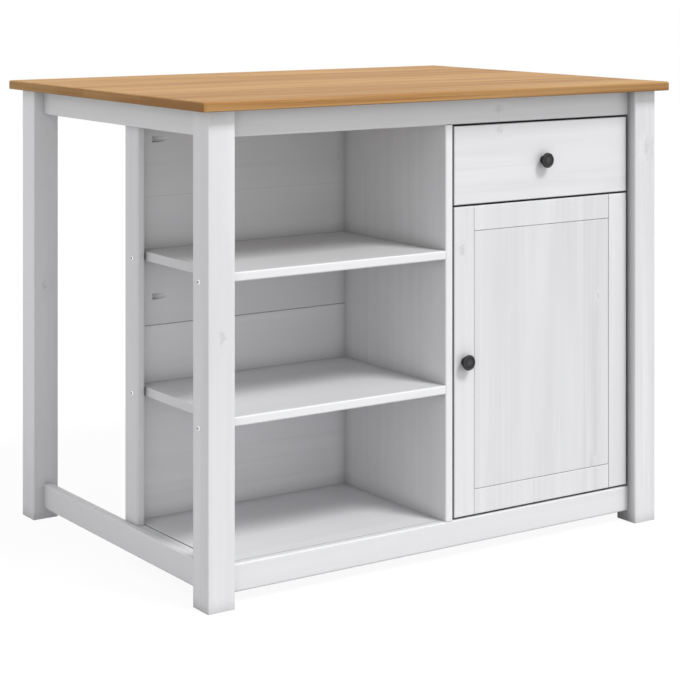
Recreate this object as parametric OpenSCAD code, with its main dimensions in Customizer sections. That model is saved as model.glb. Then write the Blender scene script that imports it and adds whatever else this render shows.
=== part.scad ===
// Kitchen island: a wooden worktop on a painted frame with four legs.
// The front half holds open shelves and a cupboard with a drawer above
// its door. The back half is open knee room.
//
// +Z is up and the front faces -Y. The origin is on the floor, under the
// middle of the worktop. All lengths are in millimetres.

/* [Worktop] */
// Length of the worktop
top_w = 1104; // [1040:1:1300]
// Depth of the worktop
top_d = 808; // [780:1:950]
// Height of the whole island
total_h = 900; // [880:1:940]
// Thickness of the worktop
top_t = 18; // [16:1:30]
// Radius of the worktop's top edges
top_edge_r = 4; // [1:0.5:6]
// Radius of the worktop's bottom edges
top_under_r = 2; // [1:0.5:6]
// Radius of the worktop's corners, inside its rounded edges
top_corner_r = 3; // [1:0.5:14]
// Distance that the worktop stands out past the legs
overhang = 22; // [10:1:35]

/* [Frame] */
// Side of a leg's square section
leg_w = 55; // [50:1:70]
// Radius of a leg's upright edges
leg_r = 2.5; // [1:0.5:8]
// Thickness of the rails and aprons
rail_t = 16; // [14:1:20]
// Height of a bottom rail
rail_h = 51; // [45:1:70]
// Height of the bottom rails above the floor
rail_z = 21.5; // [10:0.5:40]
// Height of an apron, under the worktop
apron_h = 50; // [45:1:60]
// Radius of the rails' and aprons' edges
rail_r = 4; // [1:0.5:6]

/* [Cabinet] */
// Thickness of the shelves, boards and panels
board_t = 17; // [15:0.5:20]
// Radius of the shelves' and partition's front edges
board_r = 3; // [1:0.5:6]
// Depth of the cabinet, from its front to the back of its back boards
cabinet_d = 361; // [330:1:420]
// Place of the partition's left face, right of the middle
partition_x = 8; // [-60:1:60]
// Height of the lower shelf's underside
shelf_lower_z = 316.5; // [250:0.5:360]
// Height of the upper shelf's underside
shelf_upper_z = 574.5; // [480:0.5:620]
// Height of the seam between the two back boards
back_seam_z = 443; // [400:1:470]
// Gap between the two back boards
back_seam_gap = 0.5; // [0.2:0.1:0.9]
// Gap between a shelf's left end and the leg and post beside it
shelf_fit_gap = 2; // [0.2:0.1:3]
// Depth of the upright post at the back of the open side
post_d = 51; // [40:1:60]
// Radius of the post's front edges
post_r = 5; // [1:0.5:6]
// Height of the cleat beside the floor panel
side_cleat_h = 32; // [20:1:40]
// Drop from the rail's top to the side cleat's top
side_cleat_drop = 1.5; // [0.5:0.5:4]
// Gap between the side cleat and the rail and floor panel beside it
side_cleat_gap = 0.6; // [0.2:0.1:0.9]
// Radius of the inner edges of the rails, boards and cleats
inner_r = 1.5; // [0.5:0.5:3]
// Side of the square cleats under the floor panel
floor_cleat_w = 20; // [15:1:28]
// Depth of the cross rail between the drawer and the door
cross_rail_d = 40; // [30:1:60]

/* [Cupboard shelf] */
// Height of the cupboard shelf's underside
cupboard_shelf_z = 352; // [240:1:450]
// Distance of the cupboard shelf's front edge behind the door
cupboard_shelf_setback = 44; // [40:1:90]
// Gap between the cupboard shelf's ends and what is round it
shelf_end_gap = 1; // [0.5:0.5:2]
// Distance from the shelf's front or back edge to a shelf pin
pin_inset = 35; // [20:1:60]
// Diameter of a shelf pin
pin_d = 5; // [4:0.5:7]
// Length of a shelf pin
pin_l = 18; // [14:1:22]

/* [Drawer] */
// Thickness of the drawer front and the door
front_t = 16; // [15:0.5:20]
// Height of the drawer front
drawer_front_h = 152; // [140:1:170]
// Radius of the drawer front's and the door's edges
front_r = 2.5; // [1:0.5:3]
// Gap round the drawer front and the door
front_gap = 3.5; // [3:0.5:5]
// Height of the drawer's sides
drawer_side_h = 100; // [85:1:110]
// Thickness of the drawer's sides and back
drawer_side_t = 14; // [12:0.5:17]
// Gap between the drawer and the back board
drawer_back_gap = 18; // [5:1:60]
// Thickness of the drawer's bottom
drawer_bottom_t = 5; // [3:0.5:8]
// Height of the drawer's bottom above the lower edge of its sides
drawer_bottom_lift = 8; // [6:0.5:12]
// Depth of the grooves that hold the drawer's bottom
drawer_bottom_groove = 6; // [3:0.5:8]
// Height of a drawer runner
runner_h = 16; // [12:1:20]
// Distance that a runner reaches into the groove of the drawer's side
runner_reach = 7; // [4:0.5:9]
// Length of the uncut wood in front of the drawer side's groove
groove_stop = 21; // [15:1:40]

/* [Door] */
// Width of the door's stiles and rails
stile_w = 48.5; // [44:0.5:60]
// Thickness of the door panel's tongue
tongue_t = 6; // [4:0.5:8]
// Depth of the groove that holds the tongue
tongue_l = 8; // [5:0.5:8]
// Distance of the panel's face behind the frame's face
panel_setback = 0.5; // [0:0.1:3]
// Gap between the panel and the frame round it
panel_gap = 0.4; // [0.2:0.1:1]
// Radius of the edges along the panel's gap
panel_r = 1.6; // [0.5:0.1:3]

/* [Knobs] */
// Diameter of a knob's head
knob_d = 30; // [24:1:36]
// Distance that a knob stands out
knob_h = 17; // [16:0.5:28]
// Thickness of a knob's head
knob_head_t = 5; // [4:0.5:9]
// Diameter of a knob's foot
knob_foot_d = 16.6; // [12:0.2:20]
// Diameter of a knob's neck
knob_neck_d = 10; // [9:0.5:14]

/* [Hinges] */
// Diameter of a hinge cup
cup_d = 35; // [30:1:35]
// Depth of a hinge cup
cup_depth = 11.5; // [10.5:0.5:12.5]
// Thickness of the cup's wall
cup_wall = 1.2; // [1:0.1:1.5]
// Distance from the door's right edge to the hinge axis
hinge_edge = 22; // [21.5:0.5:24]
// Depth of the hinge axis below the door's back face
hinge_depth = 3; // [2.5:0.5:4]
// Distance from the door's upper or lower edge to a hinge's middle
hinge_inset = 90; // [70:1:140]
// Diameter of a hinge pin
hinge_pin_d = 4; // [3:0.5:5]
// Width of a hinge arm
arm_w = 12; // [10:1:14]
// Thickness of a hinge arm and of its plate
arm_t = 2.5; // [2:0.1:3]

/* [Fasteners] */
// Diameter of a frame dowel
dowel_d = 8; // [6:0.5:9]
// Length of a frame dowel
dowel_l = 36; // [30:1:38]
// Diameter of a dowel in the door and drawer
small_dowel_d = 6; // [4:0.5:7]
// Length of a dowel in the door and drawer
small_dowel_l = 20; // [16:1:24]
// Diameter of a shelf screw's shank
shelf_screw_d = 5; // [4:0.5:6]
// Diameter of a shelf screw's head
shelf_head_d = 9; // [8:0.5:12]
// Height of a shelf screw's head
shelf_head_t = 2.5; // [2:0.5:3]
// Distance that a shelf screw goes into the shelf
shelf_screw_grip = 27; // [20:1:40]
// Distance of the shelf screws below the middle of the shelf's edge
shelf_screw_drop = 4; // [0:0.5:4]
// Diameter of a small wood screw's shank
wood_screw_d = 3.5; // [3:0.5:4]
// Diameter of a pocket for a slanted screw
pocket_d = 12; // [9:0.5:13]
// Slant of a pocket and its screw, in degrees
pocket_angle = 15; // [10:0.5:16]
// Distance from the board's end to the flat end of a pocket
pocket_x = 34; // [30:0.5:40]
// Side of a bracket under the worktop
bracket_l = 20; // [16:1:26]
// Width of a bracket
bracket_w = 16; // [12:1:24]
// Thickness of a bracket
bracket_t = 2; // [1.5:0.1:3]

/* [Clearances] */
// Radial clearance round a dowel, screw or pin that is fixed
fixed_clear = 0.05; // [0.02:0.01:0.15]
// Radial clearance of a hinge arm on its pin
hinge_clear = 0.06; // [0.02:0.01:0.1]
// Gap above a drawer runner, where the drawer's weight rests
runner_seat = 0.3; // [0.2:0.1:0.5]
// Gap below and beside a drawer runner
runner_gap = 0.6; // [0.4:0.1:1]
// Gap between parts that meet but move apart
meet_gap = 0.3; // [0.2:0.1:0.5]

/* [Hidden] */
$fn = 48;

// Colours
paint = [0.90, 0.90, 0.91];
honey = [0.78, 0.60, 0.42];
beech = [0.80, 0.68, 0.50];
dark_metal = [0.26, 0.26, 0.27];
steel = [0.70, 0.71, 0.73];

// Legs: the outer and inner faces of the right and back ones
leg_x = top_w / 2 - overhang;
leg_y = top_d / 2 - overhang;
leg_in_x = leg_x - leg_w;
leg_in_y = leg_y - leg_w;

// Rails and aprons: a board fits between a rail and the leg's inner face
rail_recess = leg_w - rail_t - board_t;
side_x = leg_x - rail_recess;
rail_in_x = side_x - rail_t;
front_y = rail_recess - leg_y;
rail_in_y = front_y + rail_t;
rail_top = rail_z + rail_h;
under_z = total_h - top_t;
apron_z = under_z - apron_h;

// Cabinet
back_y1 = front_y + cabinet_d;
back_y0 = back_y1 - board_t;
partition_x1 = partition_x + board_t;
floor_z = rail_top - board_t;
side_cleat_top = rail_top - side_cleat_drop;
post_y0 = back_y1 - post_d;

// Drawer front and door
front_x0 = partition_x1 + front_gap;
front_x1 = leg_in_x - front_gap;
front_back_y = front_y + front_t;
drawer_z1 = apron_z - front_gap;
drawer_z0 = drawer_z1 - drawer_front_h;
door_z1 = drawer_z0 - front_gap;
door_z0 = rail_top + front_gap;
cross_rail_z0 = (door_z1 + drawer_z0) / 2 + meet_gap;
cross_rail_z1 = cross_rail_z0 + board_t;
cross_rail_y0 = front_back_y + meet_gap;

// Drawer box and runners
side_gap = front_gap;
box_x0 = partition_x1 + side_gap;
box_x1 = leg_in_x - side_gap;
box_in_x0 = box_x0 + drawer_side_t;
box_in_x1 = box_x1 - drawer_side_t;
box_z0 = cross_rail_z1 + 8;
box_z1 = box_z0 + drawer_side_h;
box_y1 = back_y0 - drawer_back_gap;
bottom_z0 = box_z0 + drawer_bottom_lift;
bottom_z1 = bottom_z0 + drawer_bottom_t;
runner_z0 = (box_z0 + box_z1 - runner_h) / 2;
runner_z1 = runner_z0 + runner_h;
runner_y0 = front_back_y + groove_stop + meet_gap;
runner_y1 = back_y0;
runner_t = side_gap + runner_reach;
groove_depth = runner_reach + runner_gap;

// Cupboard shelf
cupboard_shelf_y0 = front_back_y + cupboard_shelf_setback;
cupboard_shelf_y1 = back_y0 - shelf_end_gap;
pin_ys = [cupboard_shelf_y0 + pin_inset, cupboard_shelf_y1 - pin_inset];

// Hinges
hinge_x = front_x1 - hinge_edge;
hinge_y = front_back_y - hinge_depth;
hinge_zs = [door_z0 + hinge_inset, door_z1 - hinge_inset];
cup_floor_y = front_back_y - cup_depth;
swing_r = norm([hinge_edge, front_t - hinge_depth]);
swing_clear = 1.2;
arm_reach = swing_r + swing_clear + arm_t / 2;
arm_link = 10;
eye_wall = 1.8;
plate_l = 44;
plate_h = 32;
plate_x0 = leg_in_x - arm_t;
flange_w = 18;
flange_l = 58;
flange_t = 1.2;

// Catch
catch_x = front_x0 + stile_w / 2;
catch_w = 40;
catch_d = 18;
catch_h = 11;
strike_t = 1;
strike_h = 13;
strike_mid_z = door_z1 - (strike_h + 1) / 2;

// Fasteners
dowel_inset = 13;
shelf_socket_d = 4;
shelf_socket_l = 1.8;
leg_screw_y = front_y + 10;
post_screw_y = back_y0 - 14;
partition_screw_ys = [front_y + 30, back_y0 - 30];
small_screw_l = 13;
door_screw_l = 11;
runner_screw_grip = 12;
pocket_screw_grip = 8;
pocket_screw_d = 4;
pocket_head_d = 6.5;
pocket_head_t = 2;
pocket_exit = 0.7 * board_t;
pocket_zs = [back_seam_z + 0.42 * (shelf_upper_z - back_seam_z), under_z - 80];

// ---------------------------------------------------------------- shapes

// Plate with a radius at each corner: left front, right front, right back
// and left back, as seen with the corner [0, 0] at the left front
module rounded_plate(size, radii) {
    difference() {
        square(size);
        corner_cut([0, 0], [0, 0], radii[0]);
        corner_cut([size[0], 0], [1, 0], radii[1]);
        corner_cut(size, [1, 1], radii[2]);
        corner_cut([0, size[1]], [0, 1], radii[3]);
    }
}

// What a round corner takes off a square one. flip turns it over in x or y
module corner_cut(corner, flip, radius) {
    outside = 1;
    if (radius > 0)
        translate(corner)
            mirror([flip[0], 0])
                mirror([0, flip[1]])
                    difference() {
                        translate([-outside, -outside])
                            square(radius + outside);
                        translate([radius, radius])
                            circle(r = radius);
                    }
}

// Boards between two corners, with rounded edges along X, Y or Z
module board_x(lo, hi, radii) {
    translate(lo)
        rotate([90, 0, 90])
            linear_extrude(hi[0] - lo[0])
                rounded_plate([hi[1] - lo[1], hi[2] - lo[2]], radii);
}

module board_y(lo, hi, radii) {
    translate([lo[0], hi[1], lo[2]])
        rotate([90, 0, 0])
            linear_extrude(hi[1] - lo[1])
                rounded_plate([hi[0] - lo[0], hi[2] - lo[2]], radii);
}

module board_z(lo, hi, radii) {
    translate(lo)
        linear_extrude(hi[2] - lo[2])
            rounded_plate([hi[0] - lo[0], hi[1] - lo[1]], radii);
}

// Board with square edges
module block(lo, hi) {
    translate(lo)
        cube(hi - lo);
}

// Board whose four front edges are rounded
module rounded_front(lo, hi, radius) {
    intersection() {
        board_z(lo, hi, [radius, radius, 0, 0]);
        board_x(lo, hi, [radius, 0, 0, radius]);
    }
}

// Turns what stands along +Z to lie along an axis direction
module along(dir) {
    rotate(dir[0] != 0 ? [0, 90 * dir[0], 0] : dir[1] != 0 ? [-90 * dir[1], 0, 0] : [90 - 90 * dir[2], 0, 0])
        children();
}

// ------------------------------------------------------------- fasteners

// Dowels are listed as [middle, direction]. The middle is on the joint's face
rail_mid_x = (side_x + rail_in_x) / 2;
rail_mid_y = (front_y + rail_in_y) / 2;
low_rails = [rail_z + dowel_inset, rail_top - dowel_inset];
high_rails = [apron_z + dowel_inset, under_z - dowel_inset];
frame_dowel_spots = concat(
    [for (sx = [-1, 1]) for (z = low_rails) [[sx * leg_in_x, rail_mid_y, z], [1, 0, 0]]],
    [for (sx = [-1, 1]) for (sy = [-1, 1]) for (z = high_rails)
        [[sx * leg_in_x, sy * rail_mid_y, z], [1, 0, 0]]],
    [for (sx = [-1, 1]) for (sy = [-1, 1]) for (z = concat(low_rails, high_rails))
        [[sx * rail_mid_x, sy * leg_in_y, z], [0, 1, 0]]]
);

door_dowel_spots = [
    for (x = [front_x0 + stile_w, front_x1 - stile_w])
        for (rail_mid = [door_z0 + stile_w / 2, door_z1 - stile_w / 2])
            for (dz = [-stile_w / 4, stile_w / 4])
                [[x, front_y + front_t / 2, rail_mid + dz], [1, 0, 0]]
];

drawer_dowel_spots = concat(
    [for (x = [box_x0 + drawer_side_t / 2, box_x1 - drawer_side_t / 2])
        for (z = [bottom_z1 + 8, box_z1 - 18])
            [[x, front_back_y, z], [0, 1, 0]]],
    [for (x = [box_in_x0, box_in_x1])
        for (z = [bottom_z1 + 12, box_z1 - 18])
            [[x, box_y1 - drawer_side_t / 2, z], [1, 0, 0]]]
);

module dowels(spots, d, l) {
    for (spot = spots)
        translate(spot[0])
            along(spot[1])
                cylinder(d = d, h = l, center = true);
}

// Takes the dowel holes out of a piece. Only spots on the piece's own box
// between lo and hi are drilled
module drilled(lo, hi, spots, d, l) {
    reach = 0.5;
    end_gap = 1;
    near = [
        for (spot = spots)
            if (min(spot[0] - lo) > -reach && min(hi - spot[0]) > -reach)
                spot
    ];
    difference() {
        children();
        dowels(near, d + 2 * fixed_clear, l + 2 * end_gap);
    }
}

// Countersunk screw along +Z, with the top of its head at z = 0
module screw(d, l) {
    head_r = 0.95 * d;
    rotate_extrude()
        polygon([[0, 0], [head_r, 0], [d / 2, head_r - d / 2], [d / 2, l - d], [0, l]]);
}

// Hole for that screw
module screw_hole(d, l) {
    head_r = 0.95 * d + fixed_clear;
    hole_r = d / 2 + fixed_clear;
    rotate_extrude()
        polygon([
            [0, -1],
            [head_r, -1],
            [head_r, 0],
            [hole_r, head_r - hole_r],
            [hole_r, l + 1],
            [0, l + 1]
        ]);
}

// Shelf screw along +Z, whose round head stands on the surface at z = 0
module shelf_screw(l) {
    r = shelf_head_d / 2;
    difference() {
        rotate_extrude()
            polygon([
                [0, -shelf_head_t],
                [0.55 * r, -shelf_head_t],
                [0.85 * r, -0.75 * shelf_head_t],
                [r, -0.3 * shelf_head_t],
                [r, 0],
                [shelf_screw_d / 2, 0],
                [shelf_screw_d / 2, l - shelf_screw_d],
                [0, l]
            ]);
        translate([0, 0, -shelf_head_t - 1])
            cylinder(d = shelf_socket_d, h = shelf_socket_l + 1, $fn = 6);
    }
}

// Screws are listed as [head, direction, length]
shelf_screw_z = board_t / 2 - shelf_screw_drop;
shelf_screw_zs = [shelf_lower_z + shelf_screw_z, shelf_upper_z + shelf_screw_z];
left_screw_grip = shelf_fit_gap + shelf_screw_grip;
leg_screws = [
    for (z = shelf_screw_zs)
        [[-leg_x, leg_screw_y, z], [1, 0, 0], leg_w + left_screw_grip]
];
post_screws = [
    for (z = shelf_screw_zs)
        [[-rail_in_x, post_screw_y, z], [1, 0, 0], board_t + left_screw_grip]
];
partition_screws = [
    for (z = shelf_screw_zs)
        for (y = partition_screw_ys)
            [[partition_x1, y, z], [-1, 0, 0], board_t + shelf_screw_grip]
];
all_shelf_screws = concat(leg_screws, post_screws, partition_screws);

runner_ys = [runner_y0 + 25, (runner_y0 + runner_y1) / 2, runner_y1 - 25];
runner_mid_z = (runner_z0 + runner_z1) / 2;
left_runner_screws = [
    for (y = runner_ys)
        [[partition_x1 + runner_t, y, runner_mid_z], [-1, 0, 0], runner_t + runner_screw_grip]
];
right_runner_screws = [
    for (y = runner_ys)
        [[leg_in_x - runner_t, y, runner_mid_z], [1, 0, 0], runner_t + runner_screw_grip]
];
plate_y0 = hinge_y + arm_reach - arm_t / 2;
plate_screws = [
    for (z = hinge_zs)
        for (dz = [-(arm_w + plate_h) / 4, (arm_w + plate_h) / 4])
            [[plate_x0, plate_y0 + plate_l / 2, z + dz], [1, 0, 0], small_screw_l]
];
catch_screws = [
    for (dx = [-catch_w / 4, catch_w / 4])
        [[catch_x + dx, front_back_y + strike_t + meet_gap + catch_d / 2, cross_rail_z0 - catch_h],
            [0, 0, 1], catch_h + 10]
];

door_screws_list = concat(
    [for (z = hinge_zs) for (dz = [-1, 1])
        [[hinge_x, front_back_y + flange_t, z + dz * (flange_l / 2 - 5)], [0, -1, 0], door_screw_l]],
    [for (dx = [-1, 1])
        [[catch_x + dx * catch_w / 4, front_back_y + strike_t, strike_mid_z], [0, -1, 0], door_screw_l]]
);

// Brackets are listed as [corner under the worktop, angle of their inward side]
bracket_ys = [back_y1 + (leg_in_y - back_y1) / 4, leg_in_y - (leg_in_y - back_y1) / 4];
bracket_spots = concat(
    [for (sx = [-1, 1]) for (sy = [-1, 1]) [[sx * leg_in_x / 2, sy * rail_in_y, under_z], 90 * sy]],
    [for (y = bracket_ys) [[-rail_in_x, y, under_z], 0]],
    [for (y = bracket_ys) [[rail_in_x, y, under_z], 180]]
);
bracket_hole = 0.6 * bracket_l;

module draw_screws(list, d) {
    for (s = list)
        translate(s[0])
            along(s[1])
                screw(d, s[2]);
}

module draw_screw_holes(list, d) {
    for (s = list)
        translate(s[0])
            along(s[1])
                screw_hole(d, s[2]);
}

module shelf_screw_holes(list) {
    for (s = list)
        translate(s[0])
            along(s[1])
                translate([0, 0, -1])
                    cylinder(d = shelf_screw_d + 2 * fixed_clear, h = s[2] + 2);
}

// Places its children at each bracket, twice: along the screw into the
// apron and along the one into the worktop
module at_bracket_screws() {
    for (spot = bracket_spots)
        translate(spot[0])
            rotate([0, 0, spot[1]]) {
                translate([bracket_t, 0, -bracket_hole])
                    along([-1, 0, 0])
                        children();
                translate([bracket_hole, 0, -bracket_t])
                    children();
            }
}

// Places its children at the flat end of each pocket, with +X towards the
// pocket's mouth. pocket_exit is the axis's depth at the board's end
module at_pockets() {
    flat_x = leg_in_x - pocket_x;
    flat_y = back_y0 + pocket_exit - pocket_x * tan(pocket_angle);
    for (side = [0, 1])
        for (z = pocket_zs)
            mirror([side, 0, 0])
                translate([-flat_x, flat_y, z])
                    rotate([0, 0, -pocket_angle])
                        children();
}

pocket_shank_l = pocket_x / cos(pocket_angle) + pocket_screw_grip;

module pocket_cuts() {
    at_pockets() {
        along([1, 0, 0])
            cylinder(d = pocket_d, h = 2 * pocket_x);
        along([-1, 0, 0])
            cylinder(d = pocket_screw_d + 2 * fixed_clear, h = pocket_shank_l + 1);
    }
}

// ----------------------------------------------------------------- frame

module worktop() {
    lo = [-top_w / 2, -top_d / 2, under_z];
    hi = [top_w / 2, top_d / 2, total_h];
    e = top_edge_r;
    u = top_under_r;
    c = max(e, u) + top_corner_r;
    color(honey)
        difference() {
            union() {
                board_x(lo + [c, 0, 0], hi - [c, 0, 0], [u, u, e, e]);
                board_y(lo + [0, c, 0], hi - [0, c, 0], [u, u, e, e]);
                for (x = [lo[0] + c, hi[0] - c], y = [lo[1] + c, hi[1] - c])
                    translate([x, y, lo[2]])
                        rotate_extrude()
                            rounded_plate([c, top_t], [0, u, e, 0]);
            }
            at_bracket_screws()
                screw_hole(wood_screw_d, small_screw_l);
        }
}

module leg(sx, sy) {
    outer = [sx * leg_x, sy * leg_y];
    inner = [sx * leg_in_x, sy * leg_in_y];
    lo = [min(outer[0], inner[0]), min(outer[1], inner[1]), 0];
    hi = lo + [leg_w, leg_w, under_z];
    r = leg_r;
    color(paint)
        drilled(lo, hi, frame_dowel_spots, dowel_d, dowel_l)
            board_z(lo, hi, [r, r, r, r]);
}

module leg_front_left() {
    color(paint)
        difference() {
            leg(-1, -1);
            shelf_screw_holes(leg_screws);
        }
}

module leg_front_right() {
    leg(1, -1);
}

module leg_back_left() {
    leg(-1, 1);
}

module leg_back_right() {
    leg(1, 1);
}

// Rail or apron along X at the front (side -1) or the back (side 1)
module cross_member(side, z0, z1, radii) {
    y0 = side < 0 ? front_y : -rail_in_y;
    lo = [-leg_in_x, y0, z0];
    hi = [leg_in_x, y0 + rail_t, z1];
    drilled(lo, hi, frame_dowel_spots, dowel_d, dowel_l)
        board_x(lo, hi, radii);
}

// Rail or apron along Y at the left (side -1) or the right (side 1)
module side_member(side, z0, z1, radii) {
    x0 = side < 0 ? -side_x : rail_in_x;
    lo = [x0, -leg_in_y, z0];
    hi = [x0 + rail_t, leg_in_y, z1];
    drilled(lo, hi, frame_dowel_spots, dowel_d, dowel_l)
        board_y(lo, hi, radii);
}

apron_radii = [rail_r, rail_r, 0, 0];
front_rail_radii = [rail_r, rail_r, inner_r, rail_r];
left_rail_radii = [rail_r, rail_r, inner_r, rail_r];
right_rail_radii = [rail_r, rail_r, rail_r, inner_r];

module apron(along_x, side) {
    color(paint)
        difference() {
            if (along_x)
                cross_member(side, apron_z, under_z, apron_radii);
            else
                side_member(side, apron_z, under_z, apron_radii);
            at_bracket_screws()
                screw_hole(wood_screw_d, small_screw_l);
        }
}

module apron_front() {
    apron(true, -1);
}

module apron_back() {
    apron(true, 1);
}

module apron_left() {
    apron(false, -1);
}

module apron_right() {
    apron(false, 1);
}

module rail_front() {
    color(paint)
        cross_member(-1, rail_z, rail_top, front_rail_radii);
}

module rail_left() {
    color(paint)
        side_member(-1, rail_z, rail_top, left_rail_radii);
}

module rail_right() {
    color(paint)
        side_member(1, rail_z, rail_top, right_rail_radii);
}

// --------------------------------------------------------------- cabinet

module mid_post() {
    lo = [-rail_in_x, post_y0, side_cleat_top];
    hi = [-leg_in_x, back_y1, under_z];
    color(paint)
        difference() {
            board_z(lo, hi, [post_r, post_r, 0, board_r]);
            shelf_screw_holes(post_screws);
            pocket_cuts();
        }
}

module side_cleat() {
    r = inner_r;
    lo = [side_cleat_gap - rail_in_x, -leg_in_y, side_cleat_top - side_cleat_h];
    hi = [-leg_in_x, back_y1, side_cleat_top];
    color(paint)
        board_y(lo, hi, [0, 0, r, r]);
}

module floor_cleat(y0) {
    color(paint)
        block([-leg_in_x, y0, floor_z - floor_cleat_w], [leg_in_x, y0 + floor_cleat_w, floor_z]);
}

module floor_cleat_front() {
    floor_cleat(rail_in_y);
}

module floor_cleat_back() {
    floor_cleat(back_y0 - floor_cleat_w);
}

module floor_panel() {
    lo = [side_cleat_gap - leg_in_x, rail_in_y, floor_z];
    hi = [leg_in_x, back_y0, rail_top];
    color(paint)
        board_y(lo, hi, [0, 0, 0, inner_r]);
}

module shelf(z) {
    r = board_r;
    lo = [shelf_fit_gap - leg_in_x, front_y, z];
    hi = [partition_x, back_y0, z + board_t];
    color(paint)
        difference() {
            board_x(lo, hi, [r, 0, 0, r]);
            shelf_screw_holes(all_shelf_screws);
        }
}

module shelf_upper() {
    shelf(shelf_upper_z);
}

module shelf_lower() {
    shelf(shelf_lower_z);
}

// The partition fills the front from the rail to the apron, and goes on
// up behind the apron
module partition() {
    r = board_r;
    color(paint)
        difference() {
            union() {
                board_z([partition_x, front_y, rail_top], [partition_x1, back_y0, apron_z], [r, r, 0, 0]);
                block([partition_x, rail_in_y, apron_z], [partition_x1, back_y0, under_z]);
            }
            draw_screw_holes(partition_screws, shelf_screw_d);
            draw_screw_holes(left_runner_screws, wood_screw_d);
            shelf_pin_set(fixed_clear);
        }
}

module side_panel() {
    color(paint)
        difference() {
            block([leg_in_x, -leg_in_y, rail_z], [rail_in_x, back_y1, under_z]);
            draw_screw_holes(right_runner_screws, wood_screw_d);
            draw_screw_holes(plate_screws, wood_screw_d);
            shelf_pin_set(fixed_clear);
            pocket_cuts();
        }
}

module back_board_upper() {
    r = inner_r;
    lo = [-leg_in_x, back_y0, back_seam_z + back_seam_gap / 2];
    hi = [leg_in_x, back_y1, under_z];
    color(paint)
        difference() {
            board_x(lo, hi, [r, r, 0, 0]);
            pocket_cuts();
        }
}

module back_board_lower() {
    r = inner_r;
    lo = [-leg_in_x, back_y0, rail_z];
    hi = [leg_in_x, back_y1, back_seam_z - back_seam_gap / 2];
    color(paint)
        board_x(lo, hi, [0, 0, r, r]);
}

module cross_rail() {
    lo = [partition_x1, cross_rail_y0, cross_rail_z0];
    hi = [leg_in_x, cross_rail_y0 + cross_rail_d, cross_rail_z1];
    color(paint)
        difference() {
            block(lo, hi);
            draw_screw_holes(catch_screws, wood_screw_d);
        }
}

module cupboard_shelf() {
    r = board_r;
    lo = [partition_x1 + shelf_end_gap, cupboard_shelf_y0, cupboard_shelf_z];
    hi = [leg_in_x - shelf_end_gap, cupboard_shelf_y1, cupboard_shelf_z + board_t];
    color(paint)
        board_x(lo, hi, [r, 0, 0, r]);
}

module shelf_pin_set(clear) {
    for (x = [partition_x1, leg_in_x])
        for (y = pin_ys)
            translate([x, y, cupboard_shelf_z - pin_d / 2])
                along([1, 0, 0])
                    cylinder(d = pin_d + 2 * clear, h = pin_l, center = true);
}

module shelf_pins() {
    color(steel)
        shelf_pin_set(0);
}

// ---------------------------------------------------------------- drawer

// Runner on the partition (x0 is its face) or on the right-hand side
module runner(x0, x1, screws) {
    color(beech)
        difference() {
            block([x0, runner_y0, runner_z0], [x1, runner_y1, runner_z1]);
            draw_screw_holes(screws, wood_screw_d);
        }
}

module runner_left() {
    runner(partition_x1, partition_x1 + runner_t, left_runner_screws);
}

module runner_right() {
    runner(leg_in_x - runner_t, leg_in_x, right_runner_screws);
}

// Hole for a knob's screw through a front
module knob_screw_hole(spot) {
    translate([spot[0], front_back_y + 1, spot[1]])
        along([0, -1, 0])
            cylinder(d = knob_screw_d + 2 * fixed_clear, h = front_t + 2);
}

drawer_knob_spot = [(front_x0 + front_x1) / 2, (drawer_z0 + drawer_z1) / 2];
door_knob_spot = [front_x0 + stile_w / 2, (door_z0 + door_z1) / 2];
groove_clear = 0.1;

module drawer_bottom_slot() {
    lo = [box_in_x0 - drawer_bottom_groove, front_back_y - drawer_bottom_groove, bottom_z0 - groove_clear];
    hi = [box_in_x1 + drawer_bottom_groove, box_y1 + 1, bottom_z1 + groove_clear];
    block(lo, hi);
}

module drawer_front() {
    lo = [front_x0, front_y, drawer_z0];
    hi = [front_x1, front_back_y, drawer_z1];
    color(paint)
        difference() {
            drilled(lo, hi, drawer_dowel_spots, small_dowel_d, small_dowel_l)
                rounded_front(lo, hi, front_r);
            drawer_bottom_slot();
            knob_screw_hole(drawer_knob_spot);
        }
}

module drawer_side(x0, groove_x0) {
    lo = [x0, front_back_y, box_z0];
    hi = [x0 + drawer_side_t, box_y1, box_z1];
    color(beech)
        difference() {
            drilled(lo, hi, drawer_dowel_spots, small_dowel_d, small_dowel_l)
                block(lo, hi);
            drawer_bottom_slot();
            block(
                [groove_x0, front_back_y + groove_stop, runner_z0 - runner_gap],
                [groove_x0 + groove_depth + 1, box_y1 + 1, runner_z1 + runner_seat]
            );
        }
}

module drawer_side_left() {
    drawer_side(box_x0, box_x0 - 1);
}

module drawer_side_right() {
    drawer_side(box_in_x1, box_x1 - groove_depth);
}

module drawer_back() {
    lo = [box_in_x0, box_y1 - drawer_side_t, bottom_z1 + groove_clear];
    hi = [box_in_x1, box_y1, box_z1];
    color(beech)
        drilled(lo, hi, drawer_dowel_spots, small_dowel_d, small_dowel_l)
            block(lo, hi);
}

module drawer_bottom() {
    end = drawer_bottom_groove - groove_clear;
    color(beech)
        block(
            [box_in_x0 - end, front_back_y - end, bottom_z0],
            [box_in_x1 + end, box_y1, bottom_z1]
        );
}

module drawer_dowels() {
    color(beech)
        dowels(drawer_dowel_spots, small_dowel_d, small_dowel_l);
}

// ----------------------------------------------------------------- knobs

knob_screw_d = 4;
knob_screw_grip = 11;

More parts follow.
